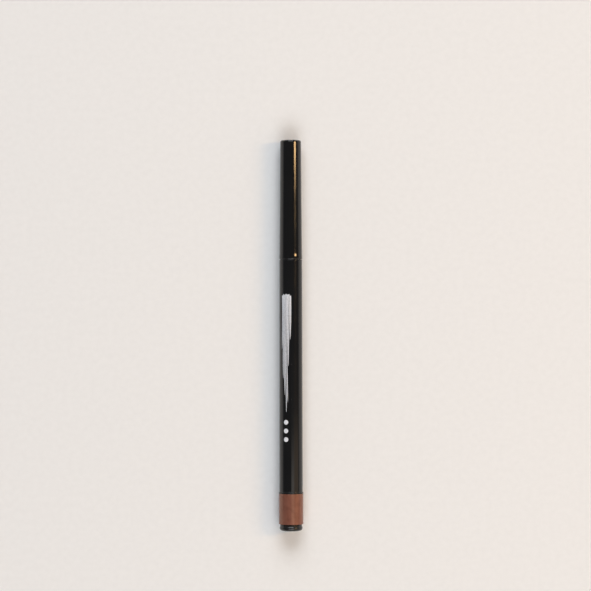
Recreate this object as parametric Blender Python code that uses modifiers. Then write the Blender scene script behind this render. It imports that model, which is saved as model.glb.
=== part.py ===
"""Furniture touch-up marker: a round fibre-tip stain pen with a pull-off cap, lying on its side.

Units are metres and +Z is up. The pen's axis runs along Y, with the cap towards +Y. The origin is on
the surface that the pen lies on, under the middle of its length.

Every piece is turned about the pen's axis, so its outline is a list of (radius, station, fillet) corners.
A station is the distance along the axis from the rear end face of the pen.
"""

import math

import bmesh
import bpy
from mathutils import Matrix

MM = 0.001

# Fits between pieces
PRESS_GAP = 0.05 * MM
SEAL_GAP = 0.05 * MM
CAP_CLEARANCE = 0.05 * MM
SEAT_GAP = 0.1 * MM
SEAM_GAP = 0.15 * MM

# Barrel
BARREL_LENGTH = 95.5 * MM
BARREL_FRONT_DIAMETER = 8.2 * MM
BARREL_REAR_DIAMETER = 8.5 * MM
BARREL_WALL = 0.9 * MM
BARREL_EDGE_RADIUS = 0.2 * MM
COLLAR_WIDTH = 0.5 * MM
COLLAR_EDGE_RADIUS = 0.12 * MM
RIB_COUNT = 6
RIB_WIDTH = 0.6 * MM
RIB_HEIGHT = 0.25 * MM
RIB_END_GAP = 1.0 * MM

# Coloured band round the rear of the barrel
BAND_LENGTH = 11.0 * MM
BAND_WALL = 0.3 * MM
BAND_PROUD = 0.2 * MM
BAND_EDGE_RADIUS = 0.1 * MM

# End plug
PLUG_HEAD_LENGTH = 2.3 * MM
PLUG_HEAD_DIAMETER = 8.25 * MM
PLUG_HEAD_RADIUS = 0.9 * MM
PLUG_NECK_LENGTH = 0.75 * MM
PLUG_NECK_DEPTH = 0.15 * MM
PLUG_LIP_RADIUS = 0.12 * MM
PLUG_SPIGOT_LENGTH = 7.0 * MM
PLUG_WALL = 0.9 * MM
PLUG_DIMPLE_DIAMETER = 3.2 * MM
PLUG_DIMPLE_DEPTH = 0.4 * MM

# Tip section, which holds the nib and carries the cap
SHOULDER_WIDTH = 0.15 * MM
SEAT_LENGTH = 9.0 * MM
CONE_LENGTH = 11.0 * MM
CONE_BLEND_RADIUS = 2.75 * MM
NOSE_LENGTH = 3.0 * MM
NOSE_DIAMETER = 4.6 * MM
NOSE_EDGE_RADIUS = 0.3 * MM
BEAD_HEIGHT = 0.1 * MM
BEAD_WIDTH = 0.9 * MM
BEAD_CREST_WIDTH = 0.3 * MM
BEAD_STATION = 5.0 * MM
SECTION_SPIGOT_LENGTH = 10.0 * MM
SECTION_WALL = 0.8 * MM
NIB_GUIDE_LENGTH = 14.0 * MM
VENT_COUNT = 4
VENT_WIDTH = 0.6 * MM
VENT_DEPTH = 0.4 * MM

# Grooves that leave sealing lands on the two spigots
LAND_GROOVE_COUNT = 2
LAND_GROOVE_WIDTH = 1.0 * MM
LAND_GROOVE_DEPTH = 0.15 * MM
SPIGOT_CHAMFER = 0.4 * MM

# Brush nib
NIB_DIAMETER = 3.0 * MM
NIB_EXPOSED = 9.0 * MM
NIB_TAIL_DEPTH = 5.0 * MM
NIB_POINT_POWER = 1.8
NIB_POINT_STEPS = 8

# Ink reservoir and the film round it
FILM_WALL = 0.15 * MM
FILM_MARGIN = 1.0 * MM

# Cap and the soft inner cap that seals on the nose
CAP_TOP_DIAMETER = 7.5 * MM
CAP_TOP_WALL = 1.2 * MM
CAP_TOP_RADIUS = 0.7 * MM
CAP_MOUTH_STEP = 0.05 * MM
CAP_MOUTH_RADIUS = 0.15 * MM
CAP_GROOVE_DEPTH = 0.1 * MM
CAP_DIMPLE_DIAMETER = 1.6 * MM
CAP_DIMPLE_DEPTH = 0.2 * MM
INNER_CAP_WALL = 0.45 * MM
INNER_CAP_LIP = 0.2 * MM
NIB_HEADROOM = 9.2 * MM

# Smoothness of the turned surfaces
FACETS = 36
ARC_STEPS = 4
FILLET_SHARE = 0.6
SHARP_ANGLE = math.radians(35)
AXIS_MERGE = 0.001 * MM

# Radii that follow from the sizes above
barrel_front_r = BARREL_FRONT_DIAMETER / 2
barrel_rear_r = BARREL_REAR_DIAMETER / 2
bore_r = barrel_front_r - BARREL_WALL
spigot_r = bore_r - PRESS_GAP
band_r = barrel_rear_r + BAND_PROUD
band_bore_r = band_r - BAND_WALL
band_seat_r = band_bore_r - PRESS_GAP
seat_r = bore_r + SHOULDER_WIDTH
bead_r = seat_r + BEAD_HEIGHT
cap_bore_r = bead_r + CAP_CLEARANCE
cap_mouth_r = barrel_front_r + CAP_MOUTH_STEP
nose_r = NOSE_DIAMETER / 2
nib_r = NIB_DIAMETER / 2
nib_bore_r = nib_r + PRESS_GAP
inner_cap_bore_r = nose_r + SEAL_GAP
inner_cap_r = inner_cap_bore_r + INNER_CAP_WALL
cap_pocket_r = inner_cap_r + PRESS_GAP
film_r = bore_r - RIB_HEIGHT - PRESS_GAP
reservoir_r = film_r - FILM_WALL - PRESS_GAP

# Stations along the axis that follow from the sizes above
barrel_rear = PLUG_HEAD_LENGTH + SEAT_GAP
barrel_front = barrel_rear + BARREL_LENGTH
band_front = barrel_rear + BAND_LENGTH
collar_rear = band_front + SEAT_GAP
collar_front = collar_rear + COLLAR_WIDTH
plug_spigot_front = barrel_rear + PLUG_SPIGOT_LENGTH
section_rear = barrel_front - SECTION_SPIGOT_LENGTH
section_shoulder = barrel_front + SEAT_GAP
bead_middle = section_shoulder + BEAD_STATION
seat_end = section_shoulder + SEAT_LENGTH
cone_end = seat_end + CONE_LENGTH
nose_end = cone_end + NOSE_LENGTH
nib_guide_rear = nose_end - NIB_GUIDE_LENGTH
nib_tip = nose_end + NIB_EXPOSED
reservoir_rear = plug_spigot_front + SEAT_GAP
reservoir_front = section_rear - SEAT_GAP
nib_tail = reservoir_front - NIB_TAIL_DEPTH
cap_mouth = barrel_front + SEAM_GAP
inner_cap_mouth = cone_end + SEAT_GAP
inner_cap_floor = nib_tip + NIB_HEADROOM
inner_cap_top = inner_cap_floor + INNER_CAP_WALL
cap_floor = inner_cap_top + SEAT_GAP
cap_top = cap_floor + CAP_TOP_WALL


def rounded(corners, closed):
    """Points of an outline whose corners (radius, station, fillet) are rounded by arcs.

    A fillet is limited by the shorter of the two sides that meet in its corner.
    """
    points = []
    for i, (radius, station, fillet) in enumerate(corners):
        at_end = not closed and i in (0, len(corners) - 1)
        if not fillet or at_end:
            points.append((radius, station))
            continue
        before = corners[i - 1]
        after = corners[(i + 1) % len(corners)]
        to_before = (before[0] - radius, before[1] - station)
        to_after = (after[0] - radius, after[1] - station)
        reach_before = math.hypot(*to_before)
        reach_after = math.hypot(*to_after)
        u = (to_before[0] / reach_before, to_before[1] / reach_before)
        v = (to_after[0] / reach_after, to_after[1] / reach_after)
        half_angle = math.acos(max(-1.0, min(1.0, u[0] * v[0] + u[1] * v[1]))) / 2
        room = FILLET_SHARE * min(reach_before, reach_after)
        tangent = min(fillet / math.tan(half_angle), room)
        start = (radius + u[0] * tangent, station + u[1] * tangent)
        end = (radius + v[0] * tangent, station + v[1] * tangent)
        points += arc_between(start, end, (radius, station), half_angle, tangent)
    return points


def arc_between(start, end, corner, half_angle, tangent):
    """Points of the arc that leaves start and reaches end, tangent to the two sides that meet in corner."""
    middle = ((start[0] + end[0]) / 2, (start[1] + end[1]) / 2)
    along = (middle[0] - corner[0], middle[1] - corner[1])
    reach = math.hypot(*along)
    centre_reach = tangent / math.cos(half_angle)
    centre = (corner[0] + along[0] / reach * centre_reach, corner[1] + along[1] / reach * centre_reach)
    first = math.atan2(start[1] - centre[1], start[0] - centre[0])
    last = math.atan2(end[1] - centre[1], end[0] - centre[0])
    sweep = (last - first + math.pi) % math.tau - math.pi
    size = math.hypot(start[0] - centre[0], start[1] - centre[1])
    angles = [first + sweep * step / ARC_STEPS for step in range(ARC_STEPS + 1)]
    return [(centre[0] + size * math.cos(a), centre[1] + size * math.sin(a)) for a in angles]


def lands(radius, front, rear):
    """Corners of a spigot's side from front to rear, with even grooves between its sealing lands."""
    pitch = (front - rear) / (LAND_GROOVE_COUNT + 1)
    depth_r = radius - LAND_GROOVE_DEPTH
    corners = []
    for groove in range(1, LAND_GROOVE_COUNT + 1):
        middle = front - groove * pitch
        groove_front = middle + LAND_GROOVE_WIDTH / 2
        groove_rear = middle - LAND_GROOVE_WIDTH / 2
        corners += [(radius, groove_front, 0), (depth_r, groove_front, 0)]
        corners += [(depth_r, groove_rear, 0), (radius, groove_rear, 0)]
    return corners


def barrel_r(station):
    """Radius of the barrel's slightly tapered outside at a station."""
    share = (station - barrel_rear) / BARREL_LENGTH
    return barrel_rear_r + (barrel_front_r - barrel_rear_r) * share


def material(name, colour, roughness):
    """A plain opaque material with a linear RGB colour."""
    made = bpy.data.materials.new(name)
    made.use_nodes = True
    made.diffuse_color = (*colour, 1.0)
    shader = made.node_tree.nodes["Principled BSDF"]
    shader.inputs["Base Color"].default_value = (*colour, 1.0)
    shader.inputs["Roughness"].default_value = roughness
    shader.inputs["Metallic"].default_value = 0.0
    return made


def turned(name, corners, closed, finish, collection, parent):
    """A solid turned about the pen's axis from the corners of its outline.

    The outline runs down the outer side, from the cap end to the rear. A closed one comes back up its bore.
    """
    points = rounded(corners, closed)
    origin = parent.get("station", 0.0)
    profile = bpy.data.meshes.new(name + "_profile")
    edges = [(i, i + 1) for i in range(len(points) - 1)]
    if closed:
        edges.append((len(points) - 1, 0))
    profile.from_pydata([(radius, 0, station - origin) for radius, station in points], edges, [])
    lathe = bpy.data.objects.new(name + "_lathe", profile)
    bpy.context.scene.collection.objects.link(lathe)
    screw = lathe.modifiers.new("Turn", "SCREW")
    screw.axis = "Z"
    screw.angle = math.tau
    screw.steps = FACETS
    screw.render_steps = FACETS
    screw.use_merge_vertices = True
    screw.merge_threshold = AXIS_MERGE
    graph = bpy.context.evaluated_depsgraph_get()
    mesh = bpy.data.meshes.new_from_object(lathe.evaluated_get(graph))
    bpy.data.objects.remove(lathe)
    bpy.data.meshes.remove(profile)
    mesh.name = name
    mesh.shade_smooth()
    mesh.set_sharp_from_angle(angle=SHARP_ANGLE)
    mesh.materials.append(finish)
    piece = bpy.data.objects.new(name, mesh)
    piece.parent = parent
    collection.objects.link(piece)
    return piece


def bars(name, count, low_r, high_r, width, rear, front, cutters, parent):
    """A hidden ring of straight bars along the axis, to be joined to a bore or cut out of it."""
    shape = bmesh.new()
    for index in range(count):
        made = bmesh.ops.create_cube(shape, size=1.0)["verts"]
        bmesh.ops.scale(shape, verts=made, vec=(high_r - low_r, width, front - rear))
        bmesh.ops.translate(shape, verts=made, vec=((low_r + high_r) / 2, 0, (front + rear) / 2))
        turn = Matrix.Rotation(math.tau * index / count, 3, "Z")
        bmesh.ops.rotate(shape, verts=made, cent=(0, 0, 0), matrix=turn)
    mesh = bpy.data.meshes.new(name)
    shape.to_mesh(mesh)
    shape.free()
    tool = bpy.data.objects.new(name, mesh)
    tool.parent = parent
    tool.hide_render = True
    tool.display_type = "WIRE"
    cutters.objects.link(tool)
    return tool


def combine(piece, tool, operation):
    """Joins a tool to a piece, or cuts it out, with a Boolean modifier."""
    boolean = piece.modifiers.new(tool.name, "BOOLEAN")
    boolean.object = tool
    boolean.operation = operation
    boolean.solver = "EXACT"


def make_barrel(finish, parts, cutters, parent):
    """Tapered tube with a collar and seat for the band, and ribs that hold the reservoir off its wall."""
    corners = [
        (bore_r, barrel_front, 0),
        (barrel_front_r, barrel_front, BARREL_EDGE_RADIUS),
        (barrel_r(collar_front), collar_front, 0),
        (band_r, collar_front, COLLAR_EDGE_RADIUS),
        (band_r, collar_rear, 0),
        (band_seat_r, collar_rear, 0),
        (band_seat_r, barrel_rear, 0),
        (bore_r, barrel_rear, 0),
    ]
    barrel = turned("barrel", corners, True, finish, parts, parent)
    ribs = bars(
        "barrel_ribs", RIB_COUNT, bore_r - RIB_HEIGHT, bore_r + RIB_HEIGHT, RIB_WIDTH,
        plug_spigot_front + RIB_END_GAP, section_rear - RIB_END_GAP, cutters, parent,
    )
    combine(barrel, ribs, "UNION")


def make_band(finish, parts, parent):
    """Thin coloured ring, pushed on from the rear against the barrel's collar, flush with it."""
    corners = [
        (band_bore_r, band_front, 0),
        (band_r, band_front, BAND_EDGE_RADIUS),
        (band_r, barrel_rear, BAND_EDGE_RADIUS),
        (band_bore_r, barrel_rear, 0),
    ]
    turned("colour_band", corners, True, finish, parts, parent)


def make_plug(finish, parts, parent):
    """Rear plug: a rounded head on a short neck, with a moulding dimple, and a hollow spigot with lands."""
    head_r = PLUG_HEAD_DIAMETER / 2
    neck_r = head_r - PLUG_NECK_DEPTH
    neck_rear = PLUG_HEAD_LENGTH - PLUG_NECK_LENGTH
    dimple_r = PLUG_DIMPLE_DIAMETER / 2
    plug_bore_r = spigot_r - PLUG_WALL
    corners = [
        (0, PLUG_HEAD_LENGTH, 0),
        (plug_bore_r, PLUG_HEAD_LENGTH, 0),
        (plug_bore_r, plug_spigot_front, 0),
        (spigot_r - SPIGOT_CHAMFER, plug_spigot_front, 0),
        (spigot_r, plug_spigot_front - SPIGOT_CHAMFER, 0),
        *lands(spigot_r, plug_spigot_front - SPIGOT_CHAMFER, PLUG_HEAD_LENGTH),
        (spigot_r, PLUG_HEAD_LENGTH, 0),
        (neck_r, PLUG_HEAD_LENGTH, 0),
        (neck_r, neck_rear, 0),
        (head_r, neck_rear, PLUG_LIP_RADIUS),
        (head_r, 0, PLUG_HEAD_RADIUS),
        (dimple_r, 0, 0),
        (dimple_r, PLUG_DIMPLE_DEPTH, 0),
        (0, PLUG_DIMPLE_DEPTH, 0),
    ]
    turned("end_plug", corners, False, finish, parts, parent)


def make_section(finish, parts, cutters, parent):
    """Nib holder: spigot in the barrel, shoulder, cap seat with its snap bead, cone and vented nose."""
    counterbore_r = spigot_r - SECTION_WALL
    corners = [
        (nib_bore_r, nose_end, 0),
        (nose_r, nose_end, NOSE_EDGE_RADIUS),
        (nose_r, cone_end, CONE_BLEND_RADIUS),
        (seat_r, seat_end, CONE_BLEND_RADIUS),
        (seat_r, bead_middle + BEAD_WIDTH / 2, 0),
        (bead_r, bead_middle + BEAD_CREST_WIDTH / 2, 0),
        (bead_r, bead_middle - BEAD_CREST_WIDTH / 2, 0),
        (seat_r, bead_middle - BEAD_WIDTH / 2, 0),
        (seat_r, section_shoulder, 0),
        (spigot_r, section_shoulder, 0),
        *lands(spigot_r, section_shoulder, section_rear + SPIGOT_CHAMFER),
        (spigot_r, section_rear + SPIGOT_CHAMFER, 0),
        (spigot_r - SPIGOT_CHAMFER, section_rear, 0),
        (counterbore_r, section_rear, 0),
        (counterbore_r, nib_guide_rear, 0),
        (nib_bore_r, nib_guide_rear, 0),
    ]
    section = turned("tip_section", corners, True, finish, parts, parent)
    vents = bars(
        "tip_section_vents", VENT_COUNT, nib_bore_r - VENT_DEPTH, nib_bore_r + VENT_DEPTH, VENT_WIDTH,
        nib_guide_rear - VENT_DEPTH, nose_end + VENT_DEPTH, cutters, parent,
    )
    combine(section, vents, "DIFFERENCE")


def make_nib(finish, parts, parent):
    """Flexible fibre nib: a brush-like point on a round shank that runs back into the reservoir."""
    point = []
    for step in range(NIB_POINT_STEPS + 1):
        share = 1 - step / NIB_POINT_STEPS
        point.append((nib_r * (1 - share**NIB_POINT_POWER), nose_end + NIB_EXPOSED * share, 0))
    corners = [
        *point,
        (nib_r, nib_tail + SPIGOT_CHAMFER, 0),
        (nib_r - SPIGOT_CHAMFER, nib_tail, 0),
        (0, nib_tail, 0),
    ]
    turned("brush_nib", corners, False, finish, parts, parent)


def make_reservoir(fibre_finish, film_finish, parts, parent):
    """Fibre rod that holds the stain, with a socket for the nib's tail, and the film wrapped round it."""
    corners = [
        (0, nib_tail - SEAT_GAP, 0),
        (nib_bore_r, nib_tail - SEAT_GAP, 0),
        (nib_bore_r, reservoir_front, 0),
        (reservoir_r, reservoir_front, 0),
        (reservoir_r, reservoir_rear, 0),
        (0, reservoir_rear, 0),
    ]
    turned("ink_reservoir", corners, False, fibre_finish, parts, parent)
    film_bore_r = film_r - FILM_WALL
    film = [
        (film_bore_r, reservoir_front - FILM_MARGIN, 0),
        (film_r, reservoir_front - FILM_MARGIN, 0),
        (film_r, reservoir_rear + FILM_MARGIN, 0),
        (film_bore_r, reservoir_rear + FILM_MARGIN, 0),
    ]
    turned("reservoir_film", film, True, film_finish, parts, parent)


def make_cap(finish, parts, parent):
    """Closed cap: tapered outside, bore with a groove for the snap bead, pocket for the inner cap."""
    dimple_r = CAP_DIMPLE_DIAMETER / 2
    groove_r = cap_bore_r + CAP_GROOVE_DEPTH
    groove_front = bead_middle + BEAD_WIDTH / 2
    groove_rear = bead_middle - BEAD_WIDTH / 2
    corners = [
        (0, cap_top - CAP_DIMPLE_DEPTH, 0),
        (dimple_r, cap_top - CAP_DIMPLE_DEPTH, 0),
        (dimple_r, cap_top, 0),
        (CAP_TOP_DIAMETER / 2, cap_top, CAP_TOP_RADIUS),
        (cap_mouth_r, cap_mouth, CAP_MOUTH_RADIUS),
        (cap_bore_r, cap_mouth, CAP_MOUTH_RADIUS),
        (cap_bore_r, groove_rear - CAP_GROOVE_DEPTH, 0),
        (groove_r, groove_rear, 0),
        (groove_r, groove_front, 0),
        (cap_bore_r, groove_front + CAP_GROOVE_DEPTH, 0),
        (cap_bore_r, seat_end, 0),
        (cap_pocket_r, cone_end, 0),
        (cap_pocket_r, cap_floor, 0),
        (0, cap_floor, 0),
    ]
    turned("cap_shell", corners, False, finish, parts, parent)


def make_inner_cap(finish, parts, parent):
    """Soft cup pressed into the cap, with a lip that seals round the nose of the tip section."""
    corners = [
        (0, inner_cap_top, 0),
        (inner_cap_r, inner_cap_top, INNER_CAP_WALL),
        (inner_cap_r, inner_cap_mouth, INNER_CAP_LIP),
        (inner_cap_bore_r, inner_cap_mouth, INNER_CAP_LIP),
        (inner_cap_bore_r, inner_cap_floor, INNER_CAP_WALL),
        (0, inner_cap_floor, 0),
    ]
    turned("inner_cap", corners, False, finish, parts, parent)


def axis_empty(name, station, collection, parent=None):
    """An empty on the pen's axis, whose own Z runs towards the cap."""
    empty = bpy.data.objects.new(name, None)
    empty["station"] = station
    collection.objects.link(empty)
    if parent:
        empty.parent = parent
        empty.location = (0, 0, station - parent["station"])
    return empty


def main():
    """Clears the scene and builds the marker."""
    for old in list(bpy.data.objects):
        bpy.data.objects.remove(old)
    parts = bpy.data.collections.new("touch_up_marker")
    cutters = bpy.data.collections.new("cutters")
    bpy.context.scene.collection.children.link(parts)
    bpy.context.scene.collection.children.link(cutters)

    # The pen lies on a flat facet of its band, its widest piece.
    half_facet = math.pi / FACETS
    axis = axis_empty("pen_axis", 0.0, parts)
    lie_down = Matrix.Rotation(-math.pi / 2, 4, "X") @ Matrix.Rotation(half_facet, 4, "Z")
    axis.matrix_world = Matrix.Translation((0, -cap_top / 2, band_r * math.cos(half_facet))) @ lie_down
    cap_slide = axis_empty("cap_slide", cap_mouth, parts, axis)

    satin_black = material("barrel_satin_black", (0.012, 0.012, 0.013), 0.42)
    band_brown = material("band_brown", (0.19, 0.075, 0.045), 0.45)
    plug_black = material("plug_black", (0.014, 0.014, 0.015), 0.35)
    section_black = material("section_black", (0.014, 0.014, 0.015), 0.35)
    nib_fibre = material("nib_fibre", (0.10, 0.040, 0.022), 0.85)
    reservoir_fibre = material("reservoir_fibre", (0.10, 0.040, 0.022), 0.90)
    clear_film = material("film_clear", (0.62, 0.60, 0.56), 0.25)
    gloss_black = material("cap_gloss_black", (0.010, 0.010, 0.011), 0.18)
    natural_white = material("inner_cap_natural", (0.72, 0.71, 0.67), 0.40)

    make_barrel(satin_black, parts, cutters, axis)
    make_band(band_brown, parts, axis)
    make_plug(plug_black, parts, axis)
    make_section(section_black, parts, cutters, axis)
    make_nib(nib_fibre, parts, axis)
    make_reservoir(reservoir_fibre, clear_film, parts, axis)
    make_cap(gloss_black, parts, cap_slide)
    make_inner_cap(natural_white, parts, cap_slide)


main()
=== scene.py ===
"""Looks of a furniture touch-up marker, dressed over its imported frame.

The pen lies along Y, its cap towards +Y. Sizes are in metres. A station is a world Y along the
pen's axis, and a radius is a distance from that axis.
"""

import logging
import math
from collections.abc import Callable, Sequence
from dataclasses import dataclass
from enum import Enum
from typing import NamedTuple

import bmesh
import bpy
from bpy.types import Material, Node, NodeSocket, Object, World
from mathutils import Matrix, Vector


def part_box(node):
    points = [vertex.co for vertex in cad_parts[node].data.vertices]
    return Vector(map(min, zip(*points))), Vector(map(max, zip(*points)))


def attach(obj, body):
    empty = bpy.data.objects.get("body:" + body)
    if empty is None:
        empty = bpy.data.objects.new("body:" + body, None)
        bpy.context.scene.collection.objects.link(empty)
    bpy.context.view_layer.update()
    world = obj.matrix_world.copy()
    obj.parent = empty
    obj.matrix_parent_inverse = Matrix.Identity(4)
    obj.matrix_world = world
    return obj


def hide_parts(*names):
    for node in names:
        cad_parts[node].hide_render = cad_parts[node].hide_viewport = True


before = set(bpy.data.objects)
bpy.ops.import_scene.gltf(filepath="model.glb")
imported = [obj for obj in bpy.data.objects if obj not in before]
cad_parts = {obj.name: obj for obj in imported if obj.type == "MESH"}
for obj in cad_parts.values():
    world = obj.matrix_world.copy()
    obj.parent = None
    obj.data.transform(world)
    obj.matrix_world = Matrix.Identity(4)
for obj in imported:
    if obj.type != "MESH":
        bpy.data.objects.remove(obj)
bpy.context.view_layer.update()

MM = 0.001
SMOOTH_ANGLE = math.radians(32)
WELD = 0.0005 * MM
TOUCH = 0.01 * MM

Colour = tuple[float, float, float]
Limits = tuple[float, float]

log = logging.getLogger("touch_up_marker")


class Body(Enum):
    """Bodies of the frame that a piece can ride on."""

    PEN = "pen"
    CAP = "cap"


class Domain(Enum):
    """Mesh elements that can be picked in edit mode."""

    VERT = "verts"
    EDGE = "edges"
    FACE = "faces"


class Fillet:
    """Usual fillets of moulded edges, each as its length along the sides of the corner."""

    HAIR = 0.03 * MM
    SHARP = 0.04 * MM
    FINE = 0.05 * MM
    SLIGHT = 0.06 * MM
    SMALL = 0.08 * MM
    PLAIN = 0.1 * MM
    SOFT = 0.12 * MM
    WIDE = 0.15 * MM
    ROUND = 0.2 * MM


class Corner(NamedTuple):
    """A corner of a turned outline, with its fillet."""

    radius: float
    station: float
    fillet: float = 0.0


class Rim(NamedTuple):
    """A round edge of a turned piece, where it wears."""

    radius: float
    station: float


class Span(NamedTuple):
    """Stations between which something reaches along the pen."""

    rear: float
    front: float

    @classmethod
    def of(cls, node: str) -> "Span":
        """Reads a node's span from the frame."""
        low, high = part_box(node)
        return cls(low.y, high.y)


class Flutes(NamedTuple):
    """Grooves along a piece: segments from each to the next, the first, and the radius left."""

    every: int
    first: int
    share: float


def start_fresh() -> None:
    """Leaves edit mode and deselects everything."""
    if bpy.context.object and bpy.context.object.mode != "OBJECT":
        bpy.ops.object.mode_set(mode="OBJECT")
    bpy.ops.object.select_all(action="DESELECT")


def work_on(piece: Object) -> None:
    """Makes a piece the only selected one, and the active one."""
    start_fresh()
    piece.select_set(True)
    bpy.context.view_layer.objects.active = piece


def pick(domain: Domain, wanted: Callable[[object], bool]) -> None:
    """Selects those elements of the mesh in edit mode that pass a test, and no others."""
    bpy.ops.mesh.select_mode(type=domain.name)
    bpy.ops.mesh.select_all(action="DESELECT")
    mesh = bpy.context.object.data
    shape = bmesh.from_edit_mesh(mesh)
    for element in filter(wanted, getattr(shape, domain.value)):
        element.select_set(True)
    shape.select_flush_mode()
    bmesh.update_edit_mesh(mesh)


def apply_modifier(piece: Object, kind: str, **settings: object) -> None:
    """Adds a modifier of Blender's kind to a piece, with its settings, and applies it."""
    work_on(piece)
    made = piece.modifiers.new(kind.title(), kind)
    for key, value in settings.items():
        setattr(made, key, value)
    bpy.ops.object.modifier_apply(modifier=made.name)


def settle(piece: Object, name: str) -> Object:
    """Names and smooths a finished piece, keeps its long faces true, and applies its place."""
    work_on(piece)
    bpy.ops.object.transform_apply(location=True, rotation=True, scale=True)
    bpy.ops.object.shade_smooth_by_angle(angle=SMOOTH_ANGLE)
    apply_modifier(piece, "WEIGHTED_NORMAL", mode="FACE_AREA", weight=100, keep_sharp=True)
    piece.name = name
    piece.data.name = name
    return piece


@dataclass(frozen=True)
class Lathe:
    """Turns outlines about the pen's axis, from a wire that is drawn, filleted and spun."""

    axis_height: float
    segments: int = 120
    fillet_segments: int = 6

    @property
    def centre(self) -> tuple[float, float, float]:
        """A point on the pen's axis."""
        return (0.0, 0.0, self.axis_height)

    def radius_of(self, point: Sequence[float]) -> float:
        """Distance of a point from the pen's axis."""
        return math.hypot(point[0], point[2] - self.axis_height)

    def angle_of(self, point: Sequence[float]) -> float:
        """Angle of a point about the pen's axis, from +X towards +Z."""
        return math.atan2(point[2] - self.axis_height, point[0])

    def draw(self, outline: Sequence[Corner], closed: bool) -> None:
        """Draws an outline as a wire in a new mesh, which stays in edit mode.

        Args:
            outline: corners in order, on the +X side of the axis.
            closed: whether the last corner joins the first.
        """
        start_fresh()
        first = outline[0]
        place = (first.radius, first.station, self.axis_height)
        bpy.ops.mesh.primitive_plane_add(size=MM, location=place)
        bpy.ops.object.transform_apply(location=True)
        bpy.ops.object.mode_set(mode="EDIT")
        bpy.ops.mesh.select_mode(type="VERT")
        bpy.ops.mesh.merge(type="CENTER")
        stops = [*outline, first] if closed else outline
        for here, there in zip(stops, stops[1:]):
            step = (there.radius - here.radius, there.station - here.station, 0.0)
            bpy.ops.mesh.extrude_vertices_move(TRANSFORM_OT_translate={"value": step})
        if closed:
            bpy.ops.mesh.select_all(action="SELECT")
            bpy.ops.mesh.remove_doubles(threshold=WELD)

    def fillet(self, corner: Corner) -> None:
        """Rounds one corner of the wire in edit mode."""
        reach = WELD * 2
        pick(
            Domain.VERT,
            lambda v: abs(v.co.x - corner.radius) < reach and abs(v.co.y - corner.station) < reach,
        )
        bpy.ops.mesh.bevel(offset=corner.fillet, segments=self.fillet_segments, affect="VERTICES")

    def turn(self, outline: Sequence[Corner], closed: bool = False) -> Object:
        """Turns an outline into a closed solid.

        Args:
            outline: corners in order. An open outline starts and ends on the axis.
            closed: whether the last corner joins the first, as on a tube.

        Returns:
            The new object, in edit mode.
        """
        self.draw(outline, closed)
        for corner in outline:
            if corner.fillet:
                self.fillet(corner)
        bpy.ops.mesh.select_all(action="SELECT")
        bpy.ops.mesh.spin(
            steps=self.segments, angle=math.tau, center=self.centre, axis=(0.0, 1.0, 0.0)
        )
        bpy.ops.mesh.select_all(action="SELECT")
        bpy.ops.mesh.remove_doubles(threshold=WELD)
        bpy.ops.mesh.normals_make_consistent(inside=False)
        return bpy.context.object

    def draw_in(self, share: float) -> None:
        """Scales what is selected in edit mode towards the axis, to a share of its radius."""
        bpy.ops.transform.resize(value=(share, 1.0, share), center_override=self.centre)

    def raise_faces(self, wanted: Callable[[Sequence[float]], bool], share: float) -> None:
        """Extrudes the faces whose middles pass a test, to a share of their radius."""
        pick(Domain.FACE, lambda face: wanted(face.calc_center_median()))
        bpy.ops.mesh.extrude_region_move()
        self.draw_in(share)

    def flute(self, flutes: Flutes, rear: float, front: float) -> None:
        """Draws in evenly spaced lines of vertices between two stations, as grooves."""
        pitch = math.tau / self.segments

        def in_groove(v: object) -> bool:
            """Whether a vertex lies on one of the grooves."""
            if not rear < v.co.y < front:
                return False
            return (round(self.angle_of(v.co) / pitch) - flutes.first) % flutes.every == 0

        pick(Domain.VERT, in_groove)
        self.draw_in(flutes.share)


LATHE = Lathe(axis_height=sum(corner.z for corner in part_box("colour_band")) / 2)


class Mark(NamedTuple):
    """Marks on a finish, from noise or specks, and what they do to it.

    Attributes:
        scale: features per metre, or cells for specks.
        detail: number of finer octaves.
        limits: values that become the results, or for specks the shares of a cell.
        results: least and most share that is marked.
        along: features per metre along the pen, where they differ.
        share: share of the cells that hold a speck, or none for noise.
        rims: round edges that the marks keep near, if any.
        reach: distance that they reach from such an edge.
        fade: stations between which they come in, if any.
        soak: stations between which the marked share rises by 1, if any.
        colour: colour of the marks, if any.
        dulling: roughness added where all is marked.
        depth: height of the marks.
        strength: share of that height that shows.
    """

    scale: float
    detail: float = 4.0
    limits: Limits = (0.0, 1.0)
    results: Limits = (0.0, 1.0)
    along: float | None = None
    share: float | None = None
    rims: tuple[Rim, ...] = ()
    reach: float = 0.4 * MM
    fade: Limits | None = None
    soak: Limits | None = None
    colour: Colour | None = None
    dulling: float = 0.0
    depth: float = 0.0
    strength: float = 0.6


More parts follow.
